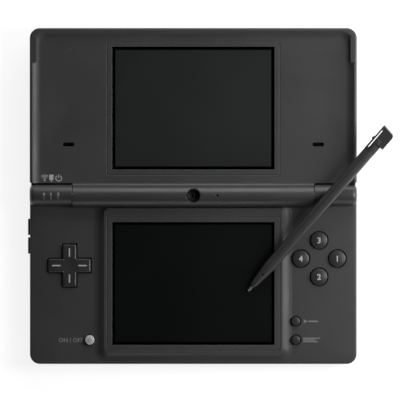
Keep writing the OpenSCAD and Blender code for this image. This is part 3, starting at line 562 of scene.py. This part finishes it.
# %% Which solid gets which finish
finishes = {
    case_plastic: ["lower_face_shell", "lower_base_shell", "battery_cover", "sd_door", "shoulder_left",
                   "shoulder_right", "volume_up", "volume_down", "lid_face_shell", "lid_back_shell",
                   "lid_screw_covers", "stylus_holder"],
    button_plastic: ["direction_cross", "button_1", "button_2", "button_3", "button_4",
                     "start_button", "select_button"],
    silver_plastic: ["power_button"],
    stylus_plastic: ["stylus_shaft"],
    cap_plastic: ["stylus_cap"],
    nib_plastic: ["stylus_nib"],
    upper_glass: ["lid_lens"],
    touch_glass: ["touch_panel"],
    light_guide: ["light_guides"],
    black_rubber: ["button_domes", "cross_pivot"],
    grey_rubber: ["lid_bumpers"],
    lens_black: ["inner_camera", "outer_camera_window"],
    black_part: ["touch_lcd", "lid_lcd", "headphone_jack", "speaker_left", "speaker_right",
                 "outer_camera", "shoulder_switches", "volume_switches", "microphone"],
    mesh_cloth: ["speaker_meshes"],
    steel: ["battery_cover_screws", "case_screws", "battery_contacts", "board_shields", "sd_slot",
            "card_slot", "card_contacts", "charge_socket", "hinge_pin", "clutch_shaft", "hinge_clutch",
            "lid_screws", "lid_magnet"],
    ring_plastic: ["camera_ring"],
    gold_flex: ["display_flex"],
    board_green: ["main_board", "wifi_module"],
    pouch: ["battery"],
}
dressed = {name for names in finishes.values() for name in names}
print("undressed:", sorted(set(nodes) - dressed))

# %% [markdown]
# The solids' meshes arrive as loose triangles. A Weld and an Edge Split modifier join the triangles
# and keep only true edges sharp, which makes round barrels look round without touching the mesh.

# %% Dress the solids
weld_distance = 0.001 * mm
cad_sharp = 28


def sharp_at(piece, degrees):
    split = piece.modifiers.new("split", "EDGE_SPLIT")
    split.split_angle = math.radians(degrees)
    split.use_edge_sharp = False


def dress(solid, material):
    solid.data.materials.clear()
    solid.data.materials.append(material)
    weld = solid.modifiers.new("weld", "WELD")
    weld.merge_threshold = weld_distance
    sharp_at(solid, cad_sharp)
    solid.data.shade_smooth()


for material, names in finishes.items():
    for name in names:
        dress(nodes[name], material)
print("dressed", len(dressed), "solids")

# %% [markdown]
# ## Tools for small pieces
# The small moulded pieces are mostly round, so a profile of a few points is spun about an axis. A
# printed mark is a thin sheet laid a hundredth of a millimetre above its surface, because paint has
# almost no height but must not share a plane with the plastic.

# %% Helpers: keep, arcs and spins
same_point = 1e-7


def turned(degrees, axis="Z"):
    return Matrix.Rotation(math.radians(degrees), 4, axis)


def add_piece(bm, name, body, material):
    mesh = bpy.data.meshes.new(name)
    bm.to_mesh(mesh)
    bm.free()
    mesh.materials.append(material)
    piece = bpy.data.objects.new(name, mesh)
    scene.collection.objects.link(piece)
    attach(piece, body)
    return piece


def keep(bm, name, body, material, smooth=True):
    bmesh.ops.remove_doubles(bm, verts=bm.verts[:], dist=same_point)
    bmesh.ops.recalc_face_normals(bm, faces=bm.faces[:])
    piece = add_piece(bm, name, body, material)
    if smooth:
        piece.data.shade_smooth()
    return piece


def arc(centre_x, centre_z, radius, start, stop, steps):
    angles = [math.radians(start + (stop - start) * i / steps) for i in range(steps + 1)]
    return [(centre_x + radius * math.cos(a), centre_z + radius * math.sin(a)) for a in angles]


def spun(profile, centre, steps=64):
    bm = bmesh.new()
    points = [bm.verts.new((x * mm, 0, z * mm)) for x, z in profile]
    lines = [bm.edges.new(pair) for pair in zip(points, points[1:])]
    bmesh.ops.spin(bm, geom=points + lines, cent=(0, 0, 0), axis=(0, 0, 1), angle=math.tau,
                   steps=steps, use_merge=True)
    bmesh.ops.translate(bm, verts=bm.verts[:], vec=Vector(centre))
    return bm


def middle_of(node):
    low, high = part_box(node)
    return (low.x + high.x) / 2, (low.y + high.y) / 2, 0


print("piece helpers ready")


# %% [markdown]
# ## Buttons
# Each button is a stem with a softly rounded rim and a slightly crowned top, standing on a thin
# flange under the face. The rounded rim is what catches the lamp as a bright crescent. The crown is
# part of a ball whose radius is four times the stem's, as on the solid, and the button's place and
# width are read from the solid's box.

# %% Round buttons
flange_width, flange_height = 0.75, 0.6
hollow_share, hollow_height = 0.62, 1.0
crown_stems = 4
button_sharp = 40
round_edge, small_edge, power_edge = 0.42, 0.3, 0.35


def button_profile(node, edge):
    low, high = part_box(node)
    flange = (high.x - low.x) / 2 / mm
    stem = flange - flange_width
    top, foot = high.z / mm, low.z / mm
    crown = crown_stems * stem
    lean = math.degrees(math.asin((stem - edge) / crown))
    dome = arc(0, top - crown, crown, 90, 90 - lean, 10)
    rim_z = dome[-1][1]
    shoulder = arc(stem - edge, rim_z - edge, edge, 90, 0, 6)
    step, hollow, ceiling = foot + flange_height, stem * hollow_share, foot + hollow_height
    profile = dome[:-1] + shoulder + [(stem, step), (flange, step), (flange, foot)]
    profile += [(hollow, foot), (hollow, ceiling), (0, ceiling)]
    return profile, top, crown


def round_button(node, edge, material):
    profile, top, crown = button_profile(node, edge)
    centre = middle_of(node)
    piece = keep(spun(profile, centre), node + "_cap", node, material)
    sharp_at(piece, button_sharp)
    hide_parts(node)
    return centre, top, crown


button_tops = {}
for node in ("button_1", "button_2", "button_3", "button_4"):
    button_tops[node] = round_button(node, round_edge, button_plastic)
for node in ("start_button", "select_button"):
    button_tops[node] = round_button(node, small_edge, button_plastic)
button_tops["power_button"] = round_button("power_button", power_edge, silver_plastic)
print("buttons:", sorted(button_tops))

# %% [markdown]
# ## Printed marks
# The prints are greys of three strengths, so each ink is a finish of its own. The numerals, the
# cross's bars and the cell on the lid are the palest, the other two signs on the lid are a little
# darker, and the marks at the three small buttons are dim.

# %% Inks
pale_ink = moulded("pale_ink", (0.42, 0.42, 0.42), (0.46, 0.46, 0.46), 0.4, 0.5, edge=0.1 * mm)
sign_ink = moulded("sign_ink", (0.36, 0.36, 0.36), (0.39, 0.39, 0.39), 0.4, 0.5, edge=0.1 * mm)
dim_ink = moulded("dim_ink", (0.19, 0.19, 0.19), (0.21, 0.21, 0.21), 0.45, 0.55, edge=0.1 * mm)
print("inks ready")

# %% [markdown]
# Letters come from a text object, whose outline is turned into a mesh and brought to the middle. A
# font's capitals are about seven tenths of its size, so the size is worked out from their height.

# %% Letters as a mesh
letter_share = 0.7


def text_mesh(words, height, bold):
    curve = bpy.data.curves.new("words", "FONT")
    curve.body = words
    curve.size = height / letter_share
    curve.align_x, curve.align_y = "CENTER", "CENTER"
    curve.offset = bold
    curve.resolution_u = 3
    maker = bpy.data.objects.new("words", curve)
    scene.collection.objects.link(maker)
    bpy.context.view_layer.update()
    mesh = bpy.data.meshes.new_from_object(maker.evaluated_get(bpy.context.evaluated_depsgraph_get()))
    bpy.data.objects.remove(maker)
    bpy.data.curves.remove(curve)
    bm = bmesh.new()
    bm.from_mesh(mesh)
    bpy.data.meshes.remove(mesh)
    return bm


def centred(bm):
    xs = [v.co.x for v in bm.verts]
    ys = [v.co.y for v in bm.verts]
    middle = Vector(((min(xs) + max(xs)) / 2, (min(ys) + max(ys)) / 2, 0))
    bmesh.ops.translate(bm, verts=bm.verts[:], vec=-middle)
    return bm


print("letters ready")


# %% [markdown]
# The four round buttons carry plain numerals. Each is cut up a little and laid on the button's crown
# by working out the crown's height at every point.

# %% Numerals on the buttons
ink_lift, power_ink_lift = 0.012, 0.01
numeral_height, numeral_bold = 2.35 * mm, 0.09 * mm


def lay_on_crown(bm, centre, top, crown, lift):
    bmesh.ops.subdivide_edges(bm, edges=bm.edges[:], cuts=2, use_grid_fill=True)
    for v in bm.verts:
        off_centre = math.hypot(v.co.x, v.co.y) / mm
        v.co.z = (top - crown + math.sqrt(crown ** 2 - off_centre ** 2) + lift) * mm
    bmesh.ops.translate(bm, verts=bm.verts[:], vec=Vector(centre))


for digit in "1234":
    node = "button_" + digit
    bm = centred(text_mesh(digit, numeral_height, numeral_bold))
    lay_on_crown(bm, *button_tops[node], ink_lift)
    keep(bm, node + "_number", node, pale_ink, False)
print("numerals laid on four buttons")


# %% [markdown]
# A flat mark is drawn from plain shapes: a bar is a one-cell grid stretched to size, a disc is a
# filled circle, and an arc is a short line spun about its centre. They are put together in one mesh,
# which is then raised to its surface.

# %% Flat shapes
def add_bar(bm, x, y, width, depth):
    made = bmesh.ops.create_grid(bm, x_segments=1, y_segments=1, size=0.5)["verts"]
    bmesh.ops.scale(bm, verts=made, vec=(width * mm, depth * mm, 1))
    bmesh.ops.translate(bm, verts=made, vec=(x * mm, y * mm, 0))


def add_disc(bm, x, y, radius, corners):
    made = bmesh.ops.create_circle(bm, cap_ends=True, segments=corners, radius=radius * mm)["verts"]
    bmesh.ops.translate(bm, verts=made, vec=(x * mm, y * mm, 0))


def add_arc_band(bm, x, y, inner, outer, start, stop, steps=20):
    earlier = set(bm.verts)
    first = [bm.verts.new((radius * mm, 0, 0)) for radius in (inner, outer)]
    edge = bm.edges.new(first)
    bmesh.ops.rotate(bm, verts=first, cent=(0, 0, 0), matrix=turned(start))
    bmesh.ops.spin(bm, geom=first + [edge], cent=(0, 0, 0), axis=(0, 0, 1),
                   angle=math.radians(stop - start), steps=steps, use_merge=False)
    swept = [v for v in bm.verts if v not in earlier]
    bmesh.ops.translate(bm, verts=swept, vec=(x * mm, y * mm, 0))


def flat_mark(bm, name, body, material, height):
    bmesh.ops.translate(bm, verts=bm.verts[:], vec=(0, 0, height))
    for face in bm.faces:
        if face.normal.z < 0:
            face.normal_flip()
    add_piece(bm, name, body, material)


print("flat shapes ready")

# %% [markdown]
# The lid's lower left corner carries three signs for the lights below them: waves for the wireless
# light, a cell for the charging light and the usual standby sign for the power light. The real ones
# are pad-printed in pale grey.

# %% Signs on the lid
hinge_height = frame["record"]["behaviour"]["joints"][0]["pos_m"][2]
tray_floor = hinge_height + 0.2 * mm
sign_y = 7.65
waves_x, cell_x, standby_x = -62.3, -59.45, -56.4
wave_radii, half_stroke = (0.85, 1.5, 2.15), 0.15
ring_from, ring_to = 125, 415
stroke_rise, stroke_length = 0.62, 1.05


def standby_sign(bm, x, y, radius, stroke):
    add_arc_band(bm, x, y, radius - stroke, radius, ring_from, ring_to)
    add_bar(bm, x, y + radius * stroke_rise, stroke, radius * stroke_length)


bm = bmesh.new()
for radius in wave_radii:
    add_arc_band(bm, waves_x, sign_y - 0.95, radius - half_stroke, radius + half_stroke, 46, 134, 12)
add_disc(bm, waves_x, sign_y - 1.0, 0.42, 16)
flat_mark(bm, "wireless_sign", "lid", sign_ink, tray_floor + ink_lift * mm)

bm = bmesh.new()
add_bar(bm, cell_x, sign_y + 0.55, 1.8, 1.6)
add_bar(bm, cell_x, sign_y - 1.2, 0.5, 0.8)
add_arc_band(bm, cell_x, sign_y - 0.26, 0.02, 0.9, 180, 360, 16)
flat_mark(bm, "cell_sign", "lid", pale_ink, tray_floor + ink_lift * mm)

bm = bmesh.new()
standby_sign(bm, standby_x, sign_y - 0.15, 1.42, 0.42)
flat_mark(bm, "standby_sign", "lid", sign_ink, tray_floor + ink_lift * mm)
print("tray floor at", round(tray_floor / mm, 2), "mm")

# %% [markdown]
# Beside the three small buttons there are small grey marks, which are kept generic: the power button
# has ON and OFF, the upper small button a triangle and a bar, and the lower one three bars. The power
# button itself carries a small standby sign.

# %% Marks beside the small buttons
face_z = hinge_height - 1.9 * mm
power_mark_at = Vector((-51.3, -60.4, 0)) * mm
word_height, word_bold = 1.7 * mm, 0.04 * mm
triangle_x, bar_x, bars_left = 46.9, 50.2, 46.0
bar_widths, bar_pitch, bar_depth = (7.2, 5.2, 6.2), 0.72, 0.42
start_y, select_y = (button_tops[node][0][1] / mm for node in ("start_button", "select_button"))

bm = centred(text_mesh("ON / OFF", word_height, word_bold))
bmesh.ops.translate(bm, verts=bm.verts[:], vec=power_mark_at)
flat_mark(bm, "power_mark", "base", dim_ink, face_z + ink_lift * mm)

bm = bmesh.new()
add_disc(bm, triangle_x, start_y, 0.95, 3)
bmesh.ops.rotate(bm, verts=bm.verts[:], cent=(triangle_x * mm, start_y * mm, 0), matrix=turned(-90))
add_bar(bm, bar_x, start_y, 4.0, 0.6)
for i, width in enumerate(bar_widths):
    add_bar(bm, bars_left + width / 2, select_y + bar_pitch * (1 - i), width, bar_depth)
flat_mark(bm, "start_select_marks", "base", dim_ink, face_z + ink_lift * mm)

bm = bmesh.new()
standby_sign(bm, 0, -0.05, 0.82, 0.26)
lay_on_crown(bm, *button_tops["power_button"], power_ink_lift)
keep(bm, "power_sign", "power_button", dim_ink, False)
print("face at", round(face_z / mm, 2), "mm")

# %% [markdown]
# ## Direction cross
# The cross is one moulding with wide bevels along its top edges, small rounded corners in plan and a
# shallow dish in the middle for the thumb. Each kind of edge gets a bevel of its own, so the edges
# are picked out by small tests on where they lie.

# %% Tests for the edges of the cross
cross_span, cross_arm, flange_thick = 17.7, 5.7, 0.35
tip_round, inner_round, top_round = 0.45, 0.25, 0.62
low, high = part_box("direction_cross")
cross_centre = middle_of("direction_cross")
cross_top = high.z / mm
cross_foot = low.z / mm + flange_thick
top_z = (cross_top - cross_foot) * mm


def in_corner(face):
    middle = face.calc_center_median()
    return min(abs(middle.x), abs(middle.y)) > cross_arm / 2 * mm


def upright(edge):
    a, b = edge.verts
    return abs(a.co.x - b.co.x) + abs(a.co.y - b.co.y) < same_point


def outer_tip(edge):
    corner = edge.verts[0].co
    return max(abs(corner.x), abs(corner.y)) > cross_span / 2.1 * mm


def on_top_rim(edge):
    level = all(abs(v.co.z - top_z) < same_point for v in edge.verts)
    return level and len({round(f.normal.z) for f in edge.link_faces}) > 1


def round_off(bm, edge_test, offset, segments):
    bmesh.ops.bevel(bm, geom=[e for e in bm.edges if edge_test(e)], offset=offset * mm,
                    affect="EDGES", segments=segments, profile=0.5, material=-1)


print("cross", cross_span, "mm wide, top at", round(cross_top, 2), "mm")

# %% [markdown]
# A nine-cell grid, whose inner lines are moved to the arms' width, loses its four corner cells and is
# raised to the cross's height. That is quicker than drawing its twelve corners by hand.

# %% The cross
bm = bmesh.new()
bmesh.ops.create_grid(bm, x_segments=3, y_segments=3, size=cross_span / 2 * mm)
for v in bm.verts:
    for axis in (0, 1):
        if abs(v.co[axis]) < cross_span / 4 * mm:
            v.co[axis] = math.copysign(cross_arm / 2 * mm, v.co[axis])
bmesh.ops.delete(bm, geom=[f for f in bm.faces if in_corner(f)], context="FACES")
raised = bmesh.ops.extrude_face_region(bm, geom=bm.faces[:])
top_verts = [g for g in raised["geom"] if isinstance(g, bmesh.types.BMVert)]
bmesh.ops.translate(bm, verts=top_verts, vec=(0, 0, top_z))
bmesh.ops.recalc_face_normals(bm, faces=bm.faces[:])
round_off(bm, lambda e: upright(e) and outer_tip(e), tip_round, 4)
round_off(bm, lambda e: upright(e) and not outer_tip(e), inner_round, 3)
round_off(bm, on_top_rim, top_round, 4)
print("cross:", len(bm.faces), "faces")

# %% [markdown]
# The dish needs more points, so the flat top is cut up by planes before its middle is lowered along a
# smooth bell curve. The arms end a little higher than the middle, as the real ones do.

# %% The dish of the cross
cut_pitch, cuts_each_way = 0.42, 8
dish_depth, dish_reach = 0.28, 2.4

for axis in (0, 1):
    for i in range(-cuts_each_way, cuts_each_way + 1):
        spot, normal = [0, 0, 0], [0, 0, 0]
        spot[axis] = i * cut_pitch * mm
        normal[axis] = 1
        bmesh.ops.bisect_plane(bm, geom=bm.verts[:] + bm.edges[:] + bm.faces[:], plane_co=spot,
                               plane_no=normal, dist=1e-6)
for v in bm.verts:
    if v.co.z > top_z - 0.02 * mm:
        off_centre = math.hypot(v.co.x, v.co.y) / mm
        v.co.z -= dish_depth * mm * math.exp(-(off_centre / dish_reach) ** 2)
bmesh.ops.translate(bm, verts=bm.verts[:], vec=(cross_centre[0], cross_centre[1], cross_foot * mm))
cross = keep(bm, "cross_cap", "direction_cross", button_plastic)
print("cross placed at", [round(c / mm, 1) for c in cross_centre])

# %% [markdown]
# Around the foot of the cross lies a thin flange, which keeps it in its hole. It is a flat ring, so
# its four-cornered section is spun. The pale bar on each arm is a flat sheet whose corners are
# rounded with a vertex bevel.

# %% The flange and the bars of the cross
cross_sharp = 38
hub_r, flange_r = 1.9, 5.8
bar_spot, bar_length, bar_width, bar_corner, bar_lift = 5.45, 3.6, 0.55, 0.2, 0.01
flange_foot = cross_foot - flange_thick

sharp_at(cross, cross_sharp)
section = [(hub_r, cross_foot), (flange_r, cross_foot), (flange_r, flange_foot), (hub_r, flange_foot),
           (hub_r, cross_foot)]
flange = keep(spun(section, cross_centre), "cross_flange", "direction_cross", button_plastic)
sharp_at(flange, cross_sharp)
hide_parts("direction_cross")

bm = bmesh.new()
for side in (bar_spot, -bar_spot):
    add_bar(bm, side, 0, bar_length, bar_width)
    add_bar(bm, 0, side, bar_width, bar_length)
bmesh.ops.bevel(bm, geom=bm.verts[:], offset=bar_corner * mm, affect="VERTICES", segments=3,
                profile=0.5, material=-1)
bmesh.ops.translate(bm, verts=bm.verts[:], vec=cross_centre)
flat_mark(bm, "cross_bars", "direction_cross", pale_ink, (cross_top + bar_lift) * mm)
print("flange", 2 * flange_r, "mm wide")

# %% [markdown]
# ## Inner camera
# The camera is a small black window in the top of the barrel. Seen up close it has a glass dome in a
# stepped collar, so its profile is spun in one go: dome, collar, sloping plate and rim. The plate is
# kept nearly flat, because a steep one would catch the lamps and look grey.

# %% The camera's face
glass_r, glass_drop = 2.0, 2.2
camera_sharp = 35
low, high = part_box("inner_camera")
rim = (high.x - low.x) / 2 / mm
edge_z, foot_z = high.z / mm, low.z / mm
glass = arc(0, edge_z - glass_drop, glass_r, 90, 72, 6)
collar = [(0.68, edge_z - 0.42), (0.86, edge_z - 0.34), (1.15, edge_z - 0.34), (1.2, edge_z - 0.28)]
plate = [(rim - 0.3, edge_z - 0.1), (rim - 0.12, edge_z), (rim, edge_z - 0.1), (rim, foot_z), (0, foot_z)]
camera_section = spun(glass + collar + plate, middle_of("inner_camera"))
face = keep(camera_section, "camera_face", "lid", lens_black)
sharp_at(face, camera_sharp)
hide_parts("inner_camera")
print("camera face", round(2 * rim, 2), "mm wide")

# %% [markdown]
# ## The stylus's shaft
# The shaft narrows towards its pale nib in one long, slightly full curve and ends in a small round
# shoulder. Its profile is spun upright at the origin, where the axis is plain, and the shaft is laid
# in its place afterwards.

# %% The stylus's shaft
shaft_turn, shaft_tilt = 49.2, 7.312
tip = Vector((22.85, -39.95, 11.581)) * mm
shaft_r, shaft_end, tip_z = 2.45, 78, 2.9

narrowing = [(0, tip_z), (0.75, tip_z), (1.0, 3.08), (1.22, 3.5), (1.36, 4.2), (1.58, 6), (1.8, 8),
             (2.03, 10), (2.27, 12), (2.39, 13.2), (shaft_r, 14.4), (shaft_r, shaft_end), (0, shaft_end)]
shaft = keep(spun(narrowing, (0, 0, 0)), "shaft_body", "stylus", stylus_plastic)
print("shaft", shaft_end - tip_z, "mm long")

# %% [markdown]
# A fine hole is sunk into the shaft's side near the nib. A Boolean takes a small cylinder away there
# while the shaft still stands upright. The cut mesh is then laid where the solid lies: turned across
# the console, with its far end up on the barrel.

# %% The hole, and the shaft laid in its place
hole_z, hole_r, hole_x, drill_length = 9.6, 0.5, -2.1, 3
shaft_sharp = 40

drill_mesh = bpy.data.meshes.new("drill")
bm = bmesh.new()
bmesh.ops.create_cone(bm, cap_ends=True, segments=24, radius1=hole_r * mm, radius2=hole_r * mm,
                      depth=drill_length * mm,
                      matrix=Matrix.Translation((hole_x * mm, 0, hole_z * mm)) @ turned(90, "Y"))
bm.to_mesh(drill_mesh)
bm.free()
drill = bpy.data.objects.new("drill", drill_mesh)
scene.collection.objects.link(drill)
sink = shaft.modifiers.new("hole", "BOOLEAN")
sink.object = drill
sink.operation = "DIFFERENCE"
sink.solver = "EXACT"
bpy.context.view_layer.update()
drilled = bpy.data.meshes.new_from_object(shaft.evaluated_get(bpy.context.evaluated_depsgraph_get()))
shaft.modifiers.remove(sink)
bpy.data.objects.remove(drill)
bpy.data.meshes.remove(drill_mesh)

lying = turned(shaft_turn) @ turned(-shaft_tilt, "Y") @ turned(90, "Y")
drilled.transform(Matrix.Translation(tip) @ lying)
shaft.data = drilled
drilled.shade_smooth()
sharp_at(shaft, shaft_sharp)
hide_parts("stylus_shaft")
print("shaft:", len(drilled.polygons), "faces")
